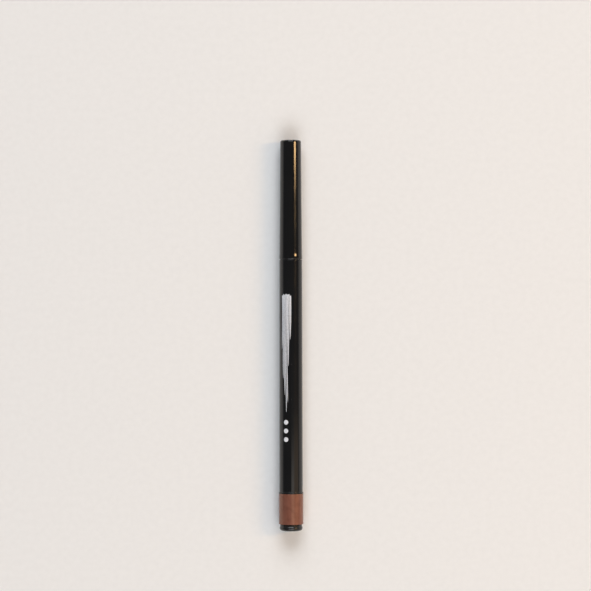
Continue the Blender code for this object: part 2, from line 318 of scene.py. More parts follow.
class Sheet:
    """Node tree of a material or the world, with short calls for the nodes that they share."""

    def __init__(
        self, owner: Material | World, shader: str = "Principled BSDF", place: str = "Object"
    ) -> None:
        """Starts the tree of a new owner from its shader, with coordinates of the named place."""
        owner.use_nodes = True
        self.owner = owner
        self.tree = owner.node_tree
        self.shader = self.tree.nodes[shader]
        self.place: NodeSocket = self.add("TexCoord").outputs[place]

    def put(self, socket: NodeSocket, value: object) -> None:
        """Links an output to an input, or sets it to a number, vector, or colour without alpha."""
        if isinstance(value, NodeSocket):
            self.tree.links.new(value, socket)
        elif isinstance(value, tuple) and socket.type == "RGBA":
            socket.default_value = (*value, 1.0)
        else:
            socket.default_value = value

    def fill(self, node: Node, **inputs: object) -> None:
        """Fills inputs of a node, named with underscores for spaces."""
        for key, value in inputs.items():
            self.put(node.inputs[key.replace("_", " ")], value)

    def add(self, kind: str, *values: object, operation: str = "", **inputs: object) -> Node:
        """Adds a node.

        Args:
            kind: Blender's type of shader node.
            values: values of its first inputs, in order.
            operation: what a node of arithmetic does.
            inputs: values of its named inputs.

        Returns:
            The node.
        """
        node = self.tree.nodes.new(f"ShaderNode{kind}")
        if operation:
            node.operation = operation
        for socket, value in zip(node.inputs, values):
            self.put(socket, value)
        self.fill(node, **inputs)
        return node

    def calc(self, operation: str, first: object, second: object) -> NodeSocket:
        """One step of arithmetic on two values, each a socket or a number."""
        return self.add("Math", first, second, operation=operation).outputs["Value"]

    def along(self, axis: str = "Y") -> NodeSocket:
        """Distance along an axis of the coordinates, of which Y runs along the pen."""
        return self.add("SeparateXYZ", self.place).outputs[axis]

    def spread(self, place: NodeSocket | None = None) -> NodeSocket:
        """Distance from the origin of a place, or else of the coordinates."""
        return self.add("VectorMath", place or self.place, operation="LENGTH").outputs["Value"]

    def ramp(self, value: NodeSocket, limits: Limits, results: Limits = (0.0, 1.0)) -> NodeSocket:
        """Maps the range of a value between two limits to two results, and holds it beyond them."""
        return self.add("MapRange", value, *limits, *results).outputs["Result"]

    def mix(self, share: NodeSocket, first: object, second: object) -> NodeSocket:
        """Mixes two colours, each a socket or a plain colour, by a share from 0 to 1."""
        node = self.add("Mix")
        node.data_type = "RGBA"
        self.fill(node, Factor=share)
        colours = [socket for socket in node.inputs if socket.type == "RGBA"]
        self.put(colours[0], first)
        self.put(colours[1], second)
        return next(socket for socket in node.outputs if socket.type == "RGBA")

    def near_rims(self, rims: Sequence[Rim], reach: float) -> NodeSocket:
        """Closeness to the nearest of several rims, from 1 on it to 0 beyond the reach."""
        lowered = (0.0, 0.0, -LATHE.axis_height)
        flat = self.add("Mapping", Vector=self.place, Location=lowered, Scale=(1.0, 0.0, 1.0))
        spot = self.add("CombineXYZ", self.spread(flat.outputs["Vector"]), self.along())
        closest: NodeSocket | None = None
        for rim in rims:
            edge = (rim.radius, rim.station, 0.0)
            apart = self.add("VectorMath", spot.outputs["Vector"], edge, operation="DISTANCE")
            here = self.ramp(apart.outputs["Value"], (reach, 0.0))
            closest = self.calc("MAXIMUM", closest, here) if closest else here
        return closest

    def noise(self, mark: Mark) -> NodeSocket:
        """Share that noise marks."""
        place, scale = self.place, mark.scale
        if mark.along:
            stretch = (scale, mark.along, scale)
            place, scale = self.add("Mapping", Vector=place, Scale=stretch).outputs["Vector"], 1.0
        node = self.add("TexNoise", Vector=place, Scale=scale, Detail=mark.detail)
        return self.ramp(node.outputs["Fac"], mark.limits, mark.results)

    def specks(self, mark: Mark) -> NodeSocket:
        """Share that round specks mark, in some of the cells."""
        node = self.add("TexVoronoi", Vector=self.place, Scale=mark.scale)
        cell = self.add("SeparateColor", node.outputs["Color"])
        chosen = self.calc("LESS_THAN", cell.outputs["Red"], mark.share)
        speck = self.ramp(node.outputs["Distance"], mark.limits, mark.results)
        return self.calc("MULTIPLY", speck, chosen)

    def shown(self, mark: Mark) -> NodeSocket:
        """Share that is marked at each place."""
        share = self.specks(mark) if mark.share else self.noise(mark)
        if mark.rims:
            share = self.calc("MULTIPLY", share, self.near_rims(mark.rims, mark.reach))
        if mark.fade:
            share = self.calc("MULTIPLY", share, self.ramp(self.along(), mark.fade))
        if mark.soak:
            share = self.calc("ADD", share, self.ramp(self.along(), mark.soak))
        return share


@dataclass(frozen=True)
class Finish:
    """A procedural material, of a plain colour under marks."""

    name: str
    colour: Colour

    def marks(self) -> list[Mark]:
        """Marks in the order in which they lie on the colour."""
        raise NotImplementedError

    def inputs(self, sheet: Sheet) -> dict[str, object]:
        """Other inputs of the material's shader, if any."""
        return {}

    def make(self) -> Material:
        """Builds the material."""
        sheet = Sheet(bpy.data.materials.new(self.name))
        inputs: dict[str, object] = {"Base_Color": self.colour, "Roughness": 0.0}
        for mark in self.marks():
            shown = sheet.shown(mark)
            if mark.colour:
                inputs["Base_Color"] = sheet.mix(shown, inputs["Base_Color"], mark.colour)
            if mark.dulling:
                dulled = sheet.calc("MULTIPLY", shown, mark.dulling)
                inputs["Roughness"] = sheet.calc("ADD", inputs["Roughness"], dulled)
            if mark.depth:
                bump = sheet.add("Bump", Height=shown, Distance=mark.depth, Strength=mark.strength)
                if "Normal" in inputs:
                    sheet.fill(bump, Normal=inputs["Normal"])
                inputs["Normal"] = bump.outputs["Normal"]
        sheet.fill(sheet.shader, **inputs, **self.inputs(sheet))
        return sheet.owner


@dataclass(frozen=True)
class MouldedBlack(Finish):
    """Black moulded plastic with handling marks, dust and worn edges."""

    haze: Colour
    roughness: Limits
    grain_depth: float
    dust: float
    rims: tuple[Rim, ...]
    worn: Colour = (0.045, 0.044, 0.043)
    speck: Colour = (0.22, 0.21, 0.20)

    def marks(self) -> list[Mark]:
        """Polish, haze, worn rims, dust, grain and hairlines."""
        return [
            Mark(160.0, 5.0, (0.3, 0.75), self.roughness, dulling=1.0),
            Mark(90.0, 4.0, (0.35, 0.75), colour=self.haze),
            Mark(
                2600.0, 4.0, (0.45, 0.62), (0.0, 0.6),
                rims=self.rims, colour=self.worn, dulling=0.25,
            ),
            Mark(
                800.0, limits=(0.085, 0.0425), results=(0.0, 0.5),
                share=self.dust, colour=self.speck,
            ),
            Mark(5200.0, 2.0, depth=self.grain_depth),
            Mark(
                3000.0, 2.0, (0.66, 0.72), along=45.0,
                dulling=0.06, depth=-0.002 * MM, strength=0.5,
            ),
        ]


@dataclass(frozen=True)
class StainBrown(Finish):
    """Brown lacquered ring in the colour of the stain, a little mottled, with chipped rims."""

    light: Colour
    dark: Colour
    rims: tuple[Rim, ...]
    shine: float = 0.85
    shine_tint: Colour = (1.0, 0.64, 0.44)

    def marks(self) -> list[Mark]:
        """Polish, streaks, blots, chipped rims, pores, grain, and the streaks again as a bump."""
        return [
            Mark(300.0, 4.0, (0.3, 0.7), (0.105, 0.155), dulling=1.0),
            Mark(900.0, 4.0, (0.35, 0.7), (0.0, 0.55), along=160.0, colour=self.light),
            Mark(420.0, 5.0, (0.5, 0.75), (0.0, 0.5), colour=self.dark),
            Mark(
                2400.0, 4.0, (0.47, 0.6), (0.0, 0.7),
                rims=self.rims, reach=0.35 * MM, colour=self.light,
            ),
            Mark(1500.0, limits=(0.12, 0.06), results=(0.0, 0.4), share=0.12, colour=self.dark),
            Mark(4200.0, 3.0, depth=0.003 * MM),
            Mark(900.0, 4.0, along=160.0, depth=0.004 * MM, strength=0.3),
        ]

    def inputs(self, sheet: Sheet) -> dict[str, object]:
        """Tinted shine of the lacquer."""
        return {"Specular_IOR_Level": self.shine, "Specular_Tint": self.shine_tint}


@dataclass(frozen=True)
class StainedFibre(Finish):
    """Bonded fibre soaked in stain, with strands along the pen and a wetter end."""

    wet: Colour
    wetting: Limits
    strand: float
    strand_ratio: float = 20.0
    sheen: float = 0.25
    sheen_roughness: float = 0.5

    def marks(self) -> list[Mark]:
        """Dull strands, the soaked end, dark lines between the strands, and their bump."""
        scale = 1 / self.strand
        strands = Mark(scale, 5.0, along=scale / self.strand_ratio)
        return [
            strands._replace(limits=(0.3, 0.7), results=(0.62, 0.9), dulling=1.0),
            Mark(900.0, 4.0, (0.3, 0.7), (-0.25, 0.25), soak=self.wetting, colour=self.wet),
            strands._replace(limits=(0.42, 0.7), results=(0.0, 0.55), colour=self.wet),
            strands._replace(depth=0.03 * MM, strength=0.7),
        ]

    def inputs(self, sheet: Sheet) -> dict[str, object]:
        """Sheen of the fibre ends."""
        return {"Sheen_Weight": self.sheen, "Sheen_Roughness": self.sheen_roughness}


@dataclass(frozen=True)
class NaturalLiner(Finish):
    """Waxy natural plastic that lets light through, marked by stain round its mouth."""

    smeared: Limits
    shade: Colour = (0.60, 0.585, 0.53)
    stain: Colour = (0.17, 0.075, 0.04)
    glow: float = 0.35
    glow_radius: Colour = (1.0, 0.9, 0.7)
    glow_depth: float = 0.5 * MM

    def marks(self) -> list[Mark]:
        """Polish, shade, smears of stain, and grain."""
        return [
            Mark(500.0, 3.0, (0.3, 0.7), (0.38, 0.52), dulling=1.0),
            Mark(260.0, 4.0, (0.35, 0.7), colour=self.shade),
            Mark(
                700.0, 4.0, (0.48, 0.62), (0.0, 0.75),
                along=260.0, fade=self.smeared, colour=self.stain,
            ),
            Mark(3000.0, 2.0, depth=0.006 * MM, strength=0.5),
        ]

    def inputs(self, sheet: Sheet) -> dict[str, object]:
        """Light that enters the plastic."""
        return {
            "Subsurface_Weight": self.glow,
            "Subsurface_Radius": self.glow_radius,
            "Subsurface_Scale": self.glow_depth,
        }


@dataclass(frozen=True)
class WrapFilm(Finish):
    """Thin rolled film, milky from the stain behind it, with fine creases along the pen."""

    tint: Colour

    def marks(self) -> list[Mark]:
        """Dull creases, tinted patches, and the creases' bump."""
        crease = Mark(1400.0, 4.0, along=60.0)
        return [
            crease._replace(limits=(0.3, 0.7), results=(0.18, 0.36), dulling=1.0),
            Mark(150.0, 4.0, (0.35, 0.7), colour=self.tint),
            crease._replace(depth=0.02 * MM),
        ]


@dataclass(frozen=True)
class PrintInk(Finish):
    """White pad-printed ink, a little thin and rubbed in places."""

    thin: Colour
    bare: Colour

    def marks(self) -> list[Mark]:
        """Polish, thin patches, pinholes and grain."""
        return [
            Mark(900.0, 3.0, (0.3, 0.7), (0.42, 0.58), dulling=1.0),
            Mark(1500.0, 5.0, (0.5, 0.72), (0.0, 0.8), colour=self.thin),
            Mark(2600.0, limits=(0.16, 0.08), results=(0.0, 0.6), share=0.1, colour=self.bare),
            Mark(4000.0, 3.0, depth=0.003 * MM),
        ]


@dataclass(frozen=True)
class PaleFloor(Finish):
    """Pale matt surface with a faint fleck, which the pen lies on and which fades into the wall."""

    fleck: Colour
    shine: float = 0.2
    fade: Limits = (0.3, 1.0)

    def marks(self) -> list[Mark]:
        """Polish and flecks."""
        return [
            Mark(60.0, 3.0, (0.3, 0.7), (0.75, 0.9), dulling=1.0),
            Mark(480.0, 4.0, (0.35, 0.7), colour=self.fleck),
        ]

    def inputs(self, sheet: Sheet) -> dict[str, object]:
        """Faint shine, and the fade with the distance from the pen."""
        solid = sheet.ramp(sheet.spread(), self.fade, (1.0, 0.0))
        return {"Specular_IOR_Level": self.shine, "Alpha": solid}


def dress(piece: Object, finish: Finish, body: Body, node: str | None = None) -> None:
    """Gives a piece its material and ties it to the frame.

    Args:
        piece: finished object.
        finish: its finish.
        body: body of the frame that the piece rides on.
        node: node of the frame that the piece stands for, where there is one.
    """
    piece.data.materials.clear()
    piece.data.materials.append(finish.make())
    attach(piece, body.value)
    if node:
        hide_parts(node)
    log.info("%s: %d faces, rides on %s", piece.name, len(piece.data.polygons), body.value)


@dataclass(frozen=True)
class Dimple:
    """Shallow dimple in an end face, with the stub of the moulding gate in its middle."""

    radius: float
    depth: float
    draft: float
    rim_fillet: float
    foot_fillet: float
    gate_radius: float
    gate_height: float
    gate_draft: float = 0.03 * MM

    def corners(self, face: float, inward: int) -> list[Corner]:
        """Corners from the axis outwards, with the dimple sunk 1 or -1 along Y from its face."""
        floor = face + inward * self.depth
        gate = floor - inward * self.gate_height
        return [
            Corner(0.0, gate),
            Corner(self.gate_radius, gate, Fillet.FINE),
            Corner(self.gate_radius + self.gate_draft, floor),
            Corner(self.radius - self.draft, floor, self.foot_fillet),
            Corner(self.radius, face, self.rim_fillet),
        ]


@dataclass(frozen=True)
class Spigot:
    """Round spigot with a chamfered end, and even grooves between its sealing lands."""

    wall: float
    radius: float = 3.15 * MM
    chamfer: float = 0.4 * MM
    grooves: int = 2
    depth: float = 0.15 * MM
    width: float = 1.0 * MM

    @property
    def bore(self) -> float:
        """Radius of the hollow in the spigot."""
        return self.radius - self.wall

    def end(self, station: float, inward: int) -> list[Corner]:
        """Corners of the end at a station, from side to bore, with the side 1 or -1 along Y."""
        return [
            Corner(self.radius, station + inward * self.chamfer, Fillet.PLAIN),
            Corner(self.radius - self.chamfer, station, Fillet.PLAIN),
            Corner(self.bore, station, Fillet.PLAIN),
        ]

    def lands(self, front: float, rear: float) -> list[Corner]:
        """Corners of the grooves in the side, from its front to its rear."""
        corners = []
        bottom = self.radius - self.depth
        for groove in range(1, self.grooves + 1):
            share = groove / (self.grooves + 1)
            middle = front + (rear - front) * share
            ahead, behind = middle + self.width / 2, middle - self.width / 2
            corners += [Corner(self.radius, ahead, Fillet.SHARP), Corner(bottom, ahead)]
            corners += [Corner(bottom, behind), Corner(self.radius, behind, Fillet.SHARP)]
        return corners


@dataclass
class CapAssembly:
    """Pull-off cap: a glossy tapered shell and the soft liner that seals on the nib holder."""

    shell: Span = Span.of("cap_shell")
    liner: Span = Span.of("inner_cap")
    top_radius: float = 3.75 * MM
    mouth_radius: float = 4.15 * MM
    bore_radius: float = 3.5 * MM
    pocket_radius: float = 2.85 * MM
    top_wall: float = 1.2 * MM
    rim_fillet: float = 0.7 * MM
    mouth_fillet: float = 0.32 * MM
    mouth_reach: float = 0.09 * MM
    lip_station: float = 1.05 * MM
    lip_run: float = 1.0 * MM
    lip_height: float = 0.05 * MM
    lip_fillet: float = 0.3 * MM
    bead_station: float = 4.95 * MM
    groove_width: float = 0.9 * MM
    groove_depth: float = 0.1 * MM
    bore_length: float = 8.95 * MM
    funnel_length: float = 11.0 * MM
    dimple: Dimple = Dimple(
        radius=0.8 * MM, depth=0.2 * MM, draft=0.08 * MM, rim_fillet=Fillet.SLIGHT,
        foot_fillet=Fillet.FINE, gate_radius=0.3 * MM, gate_height=0.08 * MM,
    )
    liner_radius: float = 2.8 * MM
    liner_wall: float = 0.45 * MM
    seal_height: float = 0.03 * MM
    seal_station: float = 1.0 * MM
    seal_width: float = 0.6 * MM
    smear_reach: float = 2.2 * MM

    def build(self) -> None:
        """Builds and dresses the cap's pieces."""
        gloss = MouldedBlack(
            "cap_gloss_black", colour=(0.0042, 0.0041, 0.0042), haze=(0.0056, 0.0054, 0.0054),
            roughness=(0.08, 0.11), grain_depth=0.0005 * MM, dust=0.08,
            rims=(Rim(self.mouth_radius, self.shell.rear), Rim(self.top_radius, self.shell.front)),
        )
        dress(self.build_shell(), gloss, Body.CAP, "cap_shell")
        mouth = self.liner.rear
        natural = NaturalLiner(
            "inner_cap_natural", colour=(0.72, 0.71, 0.66),
            smeared=(mouth + self.smear_reach, mouth),
        )
        dress(self.build_liner(), natural, Body.CAP, "inner_cap")

    def build_shell(self) -> Object:
        """Turns the shell, with its snap groove, liner pocket and moulding gate."""
        top, mouth = self.shell.front, self.shell.rear - self.mouth_reach
        floor = top - self.top_wall
        bore_end = self.shell.rear + self.bore_length
        taper = (self.mouth_radius - self.top_radius) / (top - mouth)
        lip = mouth + self.lip_station
        waist = lip + self.lip_run
        waist_radius = self.mouth_radius - taper * (waist - mouth) - self.lip_height
        groove_radius = self.bore_radius + self.groove_depth
        groove_rear = self.shell.rear + self.bead_station - self.groove_width / 2
        groove_front = groove_rear + self.groove_width
        return settle(LATHE.turn([
            *self.dimple.corners(top, inward=-1),
            Corner(self.top_radius, top, self.rim_fillet),
            Corner(waist_radius, waist, self.lip_fillet),
            Corner(self.mouth_radius - taper * self.lip_station, lip, self.lip_fillet),
            Corner(self.mouth_radius, mouth, self.mouth_fillet),
            Corner(self.bore_radius, mouth, Fillet.WIDE),
            Corner(self.bore_radius, groove_rear - self.groove_depth),
            Corner(groove_radius, groove_rear),
            Corner(groove_radius, groove_front),
            Corner(self.bore_radius, groove_front + self.groove_depth),
            Corner(self.bore_radius, bore_end),
            Corner(self.pocket_radius, bore_end + self.funnel_length),
            Corner(self.pocket_radius, floor),
            Corner(0.0, floor),
        ]), "cap_cover")

    def build_liner(self) -> Object:
        """Turns the liner, a cup with a seal ring inside its mouth."""
        mouth, top = self.liner
        bore = self.liner_radius - self.liner_wall
        seal = mouth + self.seal_station
        half = self.seal_width / 2
        return settle(LATHE.turn([
            Corner(0.0, top),
            Corner(self.liner_radius, top, self.liner_wall),
            Corner(self.liner_radius, mouth, Fillet.ROUND),
            Corner(bore, mouth, Fillet.ROUND),
            Corner(bore, seal - half),
            Corner(bore - self.seal_height, seal, half / 2),
            Corner(bore, seal + half),
            Corner(bore, top - self.liner_wall, self.liner_wall),
            Corner(0.0, top - self.liner_wall),
        ]), "cap_liner")


@dataclass
class BarrelAssembly:
    """Barrel with a collar and ribs, the stain-coloured band behind that collar, and the plug."""

    tube: Span = Span.of("barrel")
    band: Span = Span.of("colour_band")
    plug: Span = Span.of("end_plug")
    reservoir: Span = Span.of("ink_reservoir")
    front_radius: float = 4.1 * MM
    rear_radius: float = 4.25 * MM
    bore_radius: float = 3.2 * MM
    collar_gap: float = 0.1 * MM
    collar_width: float = 0.5 * MM
    rib_count: int = 6
    rib_height: float = 0.25 * MM
    rib_half_angle: float = math.radians(6)
    rib_end_gap: float = 1.1 * MM
    band_radius: float = 4.45 * MM
    band_bore: float = 4.15 * MM
    band_seat: float = 4.1 * MM
    head_length: float = 2.3 * MM
    head_radius: float = 4.125 * MM
    head_fillet: float = 0.9 * MM
    neck_length: float = 0.75 * MM
    neck_depth: float = 0.15 * MM
    lip_slope: float = 0.28 * MM
    spigot: Spigot = Spigot(wall=0.9 * MM)
    dimple: Dimple = Dimple(
        radius=1.6 * MM, depth=0.4 * MM, draft=0.12 * MM, rim_fillet=Fillet.SMALL,
        foot_fillet=Fillet.SMALL, gate_radius=0.35 * MM, gate_height=0.1 * MM,
    )

    @property
    def collar(self) -> Span:
        """Stations of the collar in front of the band."""
        rear = self.band.front + self.collar_gap
        return Span(rear, rear + self.collar_width)

    def build(self) -> Object:
        """Builds and dresses the barrel, band and plug, and returns the barrel for the print."""
        tube = self.build_tube()
        mouth, collar = self.tube.front, self.collar.front
        satin = MouldedBlack(
            "barrel_satin_black", colour=(0.0040, 0.0040, 0.0044), haze=(0.0056, 0.0055, 0.0056),
            roughness=(0.095, 0.125), grain_depth=0.001 * MM, dust=0.16,
            rims=(Rim(self.front_radius, mouth), Rim(self.band_radius, collar)),
        )
        dress(tube, satin, Body.PEN, "barrel")
        brown = StainBrown(
            "band_brown", colour=(0.174, 0.066, 0.045), light=(0.238, 0.100, 0.069),
            dark=(0.105, 0.040, 0.028), rims=tuple(Rim(self.band_radius, end) for end in self.band),
        )
        dress(self.build_band(), brown, Body.PEN, "colour_band")
        lip = self.plug.rear + self.head_length - self.neck_length
        semi = MouldedBlack(
            "plug_black", colour=(0.0090, 0.0087, 0.0084), haze=(0.0120, 0.0115, 0.0110),
            roughness=(0.15, 0.21), grain_depth=0.003 * MM, dust=0.12,
            rims=(Rim(self.head_radius, lip),),
        )
        dress(self.build_plug(), semi, Body.PEN, "end_plug")
        return tube

    def outside(self, station: float) -> float:
        """Radius of the barrel's tapered outside at a station."""
        share = (station - self.tube.rear) / (self.tube.front - self.tube.rear)
        return self.rear_radius + (self.front_radius - self.rear_radius) * share

    def build_tube(self) -> Object:
        """Turns the barrel with its collar and band seat, and raises the ribs in its bore."""
        rear, front = self.tube
        collar = self.collar
        rib_rear = self.reservoir.rear + self.rib_end_gap
        rib_front = self.reservoir.front - self.rib_end_gap
        tube = LATHE.turn([
            Corner(self.bore_radius, front, Fillet.PLAIN),
            Corner(self.front_radius, front, Fillet.ROUND),
            Corner(self.outside(collar.front), collar.front, Fillet.SMALL),
            Corner(self.band_radius, collar.front, Fillet.SOFT),
            Corner(self.band_radius, collar.rear, Fillet.SLIGHT),
            Corner(self.band_seat, collar.rear),
            Corner(self.band_seat, rear, Fillet.PLAIN),
            Corner(self.bore_radius, rear, Fillet.PLAIN),
            Corner(self.bore_radius, rib_rear),
            Corner(self.bore_radius, rib_front),
        ], closed=True)
        spacing = math.tau / self.rib_count

        def on_rib(middle: Sequence[float]) -> bool:
            """Whether the middle of a face of the bore lies under one of the ribs."""
            inside = LATHE.radius_of(middle) < self.bore_radius + TOUCH
            turn = (LATHE.angle_of(middle) + spacing / 2) % spacing - spacing / 2
            return inside and rib_rear < middle[1] < rib_front and abs(turn) < self.rib_half_angle

        LATHE.raise_faces(on_rib, 1 - self.rib_height / self.bore_radius)
        return settle(tube, "barrel_tube")

    def build_band(self) -> Object:
        """Turns the band, a thin ring with rounded rims."""
        rear, front = self.band
        return settle(LATHE.turn([
            Corner(self.band_bore, front, Fillet.SHARP),
            Corner(self.band_radius, front, Fillet.PLAIN),
            Corner(self.band_radius, rear, Fillet.PLAIN),
            Corner(self.band_bore, rear, Fillet.SHARP),
        ], closed=True), "stain_band")

    def build_plug(self) -> Object:
        """Turns the plug: rounded head with a neck and dimple, and a hollow spigot with lands."""
        rear, front = self.plug
        head_front = rear + self.head_length
        neck_rear = head_front - self.neck_length
        neck_radius = self.head_radius - self.neck_depth
        return settle(LATHE.turn([
            Corner(0.0, head_front),
            Corner(self.spigot.bore, head_front),
            *reversed(self.spigot.end(front, inward=-1)),
            *self.spigot.lands(front - self.spigot.chamfer, head_front),
            Corner(self.spigot.radius, head_front),
            Corner(neck_radius, head_front, Fillet.SMALL),
            Corner(neck_radius, neck_rear, Fillet.SLIGHT),
            Corner(self.head_radius, neck_rear - self.lip_slope, Fillet.SOFT),
            Corner(self.head_radius, rear, self.head_fillet),
            *reversed(self.dimple.corners(rear, inward=1)),
        ]), "rear_plug")


@dataclass
class TipAssembly:
    """Nib holder with its snap bead and vents, and the flexible brush nib."""

    holder: Span = Span.of("tip_section")
    nib: Span = Span.of("brush_nib")
    seat_radius: float = 3.35 * MM
    seat_length: float = 9.0 * MM
    cone_length: float = 11.0 * MM
    cone_fillet: float = 0.4 * MM
    nose_length: float = 3.0 * MM
    nose_radius: float = 2.3 * MM
    nose_fillet: float = 0.3 * MM
    bead_height: float = 0.1 * MM
    bead_width: float = 0.9 * MM
    bead_crest: float = 0.3 * MM
    bead_station: float = 5.0 * MM
    spigot: Spigot = Spigot(wall=0.8 * MM)
    guide_length: float = 14.0 * MM
    guide_radius: float = 1.55 * MM
    vent_count: int = 4
    vent_width: float = 0.6 * MM
    vent_depth: float = 0.4 * MM
    vent_fillet: float = 0.18 * MM
    vent_fillet_segments: int = 4
    nib_radius: float = 1.5 * MM
    nib_chamfer: float = 0.4 * MM
    point_power: float = 1.8
    point_steps: int = 26
    dry_length: float = 1.5 * MM
    strand: float = 0.09 * MM
    strand_flutes: tuple[Flutes, ...] = (Flutes(4, 0, 0.955), Flutes(12, 2, 0.975))
    strand_inset: float = 1.0 * MM
    split_flutes: Flutes = Flutes(30, 7, 0.93)
    split_gap: float = 0.5 * MM

    @property
    def shoulder(self) -> float:
        """Station of the step that stops the holder in the barrel."""
        return self.holder.front - self.nose_length - self.cone_length - self.seat_length

    @property
    def bead(self) -> Rim:
        """Crest of the snap bead."""
        return Rim(self.seat_radius + self.bead_height, self.shoulder + self.bead_station)

    def build(self) -> None:
        """Builds and dresses the holder and the nib."""
        semi = MouldedBlack(
            "section_black", colour=(0.0062, 0.0061, 0.0064), haze=(0.0085, 0.0083, 0.0082),
            roughness=(0.24, 0.36), grain_depth=0.003 * MM, dust=0.05,
            rims=(Rim(self.nose_radius, self.holder.front), self.bead),
        )
        dress(self.build_holder(), semi, Body.PEN, "tip_section")
        fibre = StainedFibre(
            "nib_fibre", colour=(0.17, 0.072, 0.040), wet=(0.060, 0.023, 0.013),
            wetting=(self.holder.front + self.dry_length, self.nib.front), strand=self.strand,
        )
        dress(self.build_nib(), fibre, Body.PEN, "brush_nib")

    def build_holder(self) -> Object:
        """Turns the holder and cuts the vents along its nib guide."""
        rear, front = self.holder
        cone_end = front - self.nose_length
        seat_end = cone_end - self.cone_length
        shoulder, bead = self.shoulder, self.bead
        guide = Span(front - self.guide_length, front)
        holder = LATHE.turn([
            Corner(self.guide_radius, front, Fillet.SLIGHT),
            Corner(self.nose_radius, front, self.nose_fillet),
            Corner(self.nose_radius, cone_end, self.cone_fillet),
            Corner(self.seat_radius, seat_end, self.cone_fillet),
            Corner(self.seat_radius, bead.station + self.bead_width / 2, Fillet.PLAIN),
            Corner(bead.radius, bead.station + self.bead_crest / 2, Fillet.PLAIN),
            Corner(bead.radius, bead.station - self.bead_crest / 2, Fillet.PLAIN),
            Corner(self.seat_radius, bead.station - self.bead_width / 2, Fillet.PLAIN),
            Corner(self.seat_radius, shoulder, Fillet.FINE),
            Corner(self.spigot.radius, shoulder),
            *self.spigot.lands(shoulder, rear + self.spigot.chamfer),
            *self.spigot.end(rear, inward=1),
            Corner(self.spigot.bore, guide.rear),
            Corner(self.guide_radius, guide.rear, Fillet.SLIGHT),
        ], closed=True)
        for vent in range(self.vent_count):
            cutter = self.build_vent_cutter(guide, math.tau * vent / self.vent_count)
            apply_modifier(holder, "BOOLEAN", object=cutter, operation="DIFFERENCE", solver="EXACT")
            bpy.data.objects.remove(cutter)
        return settle(holder, "nib_holder")

    def build_vent_cutter(self, guide: Span, turn: float) -> Object:
        """Builds the bar that cuts one vent, with a rounded bottom.

        Args:
            guide: stations of the nib guide.
            turn: angle of the vent about the axis.

        Returns:
            The cutter.
        """
        start_fresh()
        rear, front = guide
        low, high = self.guide_radius - self.vent_depth, self.guide_radius + self.vent_depth
        place = ((low + high) / 2, (rear + front) / 2, LATHE.axis_height)
        bpy.ops.mesh.primitive_cube_add(size=1.0, location=place)
        cutter = bpy.context.object
        cutter.scale = (high - low, front - rear + 2 * self.vent_depth, self.vent_width)
        bpy.ops.object.transform_apply(location=True, scale=True)
        bpy.ops.object.mode_set(mode="EDIT")

        def at_bottom(edge: object) -> bool:
            """Whether an edge runs along the pen at the bottom of the vent."""
            level = abs(edge.verts[0].co.z - edge.verts[1].co.z) < TOUCH
            return level and all(abs(v.co.x - high) < TOUCH for v in edge.verts)

        pick(Domain.EDGE, at_bottom)
        bpy.ops.mesh.bevel(
            offset=self.vent_fillet, segments=self.vent_fillet_segments, affect="EDGES"
        )
        bpy.ops.mesh.select_all(action="SELECT")
        bpy.ops.transform.rotate(value=turn, orient_axis="Y", center_override=LATHE.centre)
        bpy.ops.object.mode_set(mode="OBJECT")
        return cutter

    def build_nib(self) -> Object:
        """Turns the nib, draws in the lines between its strands and splits some of them."""
        rear, front = self.nib
        foot = self.holder.front
        point = []
        for step in range(self.point_steps + 1):
            share = 1 - step / self.point_steps
            radius = self.nib_radius * (1 - share**self.point_power)
            point.append(Corner(radius, foot + (front - foot) * share))
        nib = LATHE.turn([
            *point,
            Corner(self.nib_radius, rear + self.nib_chamfer, Fillet.ROUND),
            Corner(self.nib_radius - self.nib_chamfer, rear, Fillet.PLAIN),
            Corner(0.0, rear),
        ])
        for flutes in self.strand_flutes:
            LATHE.flute(flutes, foot - self.strand_inset, front)
        LATHE.flute(self.split_flutes, foot + self.split_gap, front)
        return settle(nib, "fibre_nib")


